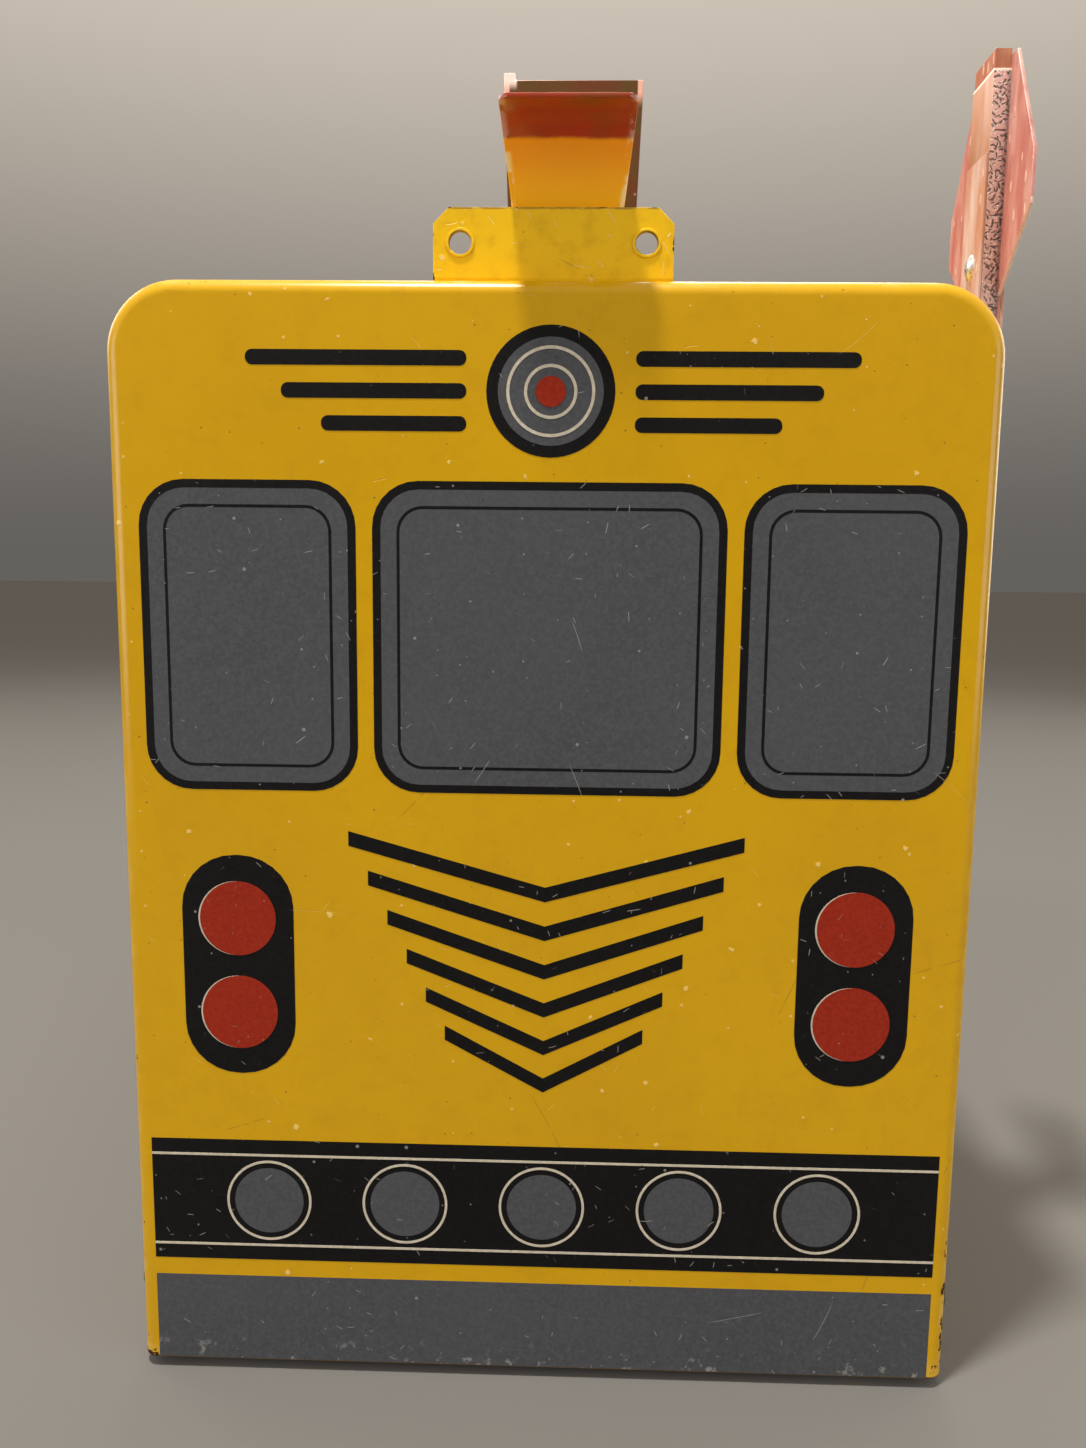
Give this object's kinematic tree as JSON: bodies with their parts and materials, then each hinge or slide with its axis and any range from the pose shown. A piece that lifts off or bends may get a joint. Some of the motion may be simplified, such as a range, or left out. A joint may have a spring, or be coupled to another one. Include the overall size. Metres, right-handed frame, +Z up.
{
  "type": "letter box",
  "caption": "Sheet-metal letter box with a drop-down front door, a spring catch with a pull on the roof edge and a swinging signal flag on its side.",
  "frame": {"origin": "middle of the floor's underside, where a mounting board sits", "axes": "+Y from the door to the rear wall, +X to the right as seen from the front, +Z up"},
  "size_m": [0.22, 0.518, 0.3323],
  "materials": {
    "yellow_enamel": "glossy yellow enamel on sheet steel, scratched and chipped at the edges, printed on the door",
    "galvanised_sheet": "galvanised sheet steel, dull",
    "rivet_metal": "domed rivets, bare and a little dull",
    "washer_steel": "plain steel washers",
    "catch_enamel": "dark red enamel on spring steel, worn pale at the edges",
    "flag_enamel": "faded red enamel on sheet steel, chipped along the arm"
  },
  "bodies": {
    "body": {"body_shell": "yellow_enamel", "rear_panel": "yellow_enamel", "floor_pan": "galvanised_sheet", "rear_rivets": "rivet_metal", "floor_rivets": "rivet_metal", "hinge_rivet_left": "rivet_metal", "hinge_rivet_right": "rivet_metal", "hinge_washers": "washer_steel", "catch_anchor": "catch_enamel", "catch_rivets": "rivet_metal", "flag_bracket": "flag_enamel", "flag_bracket_rivets": "rivet_metal", "flag_pivot_rivet": "rivet_metal", "flag_spring_washer": "washer_steel"},
    "door": {"door_panel": "yellow_enamel", "keeper_tab": "yellow_enamel", "pull_tongue": "catch_enamel", "tab_rivets": "rivet_metal"},
    "catch": {"catch_plate": "catch_enamel"},
    "flag": {"flag_arm": "flag_enamel", "flag_sign": "flag_enamel", "flag_inner_strap": "flag_enamel", "flag_outer_strap": "flag_enamel", "flag_pivot_bush": "washer_steel", "flag_rivets": "rivet_metal"}
  },
  "joints": [
    {"name": "door_hinge", "type": "hinge", "parent": "body", "child": "door", "pos_m": [0, -0.2445, -0.005], "axis": [1, 0, 0], "range_deg": [0, 88]},
    {"name": "catch_flex", "type": "hinge", "parent": "body", "child": "catch", "pos_m": [0.0041, -0.1945, 0.24], "axis": [-1, 0, 0], "range_deg": [0, 6], "stiffness_Nm_per_rad": 2},
    {"name": "flag_pivot", "type": "hinge", "parent": "body", "child": "flag", "pos_m": [0.1076, -0.205, 0.196], "axis": [-1, 0, 0], "range_deg": [0, 90]}
  ]
}
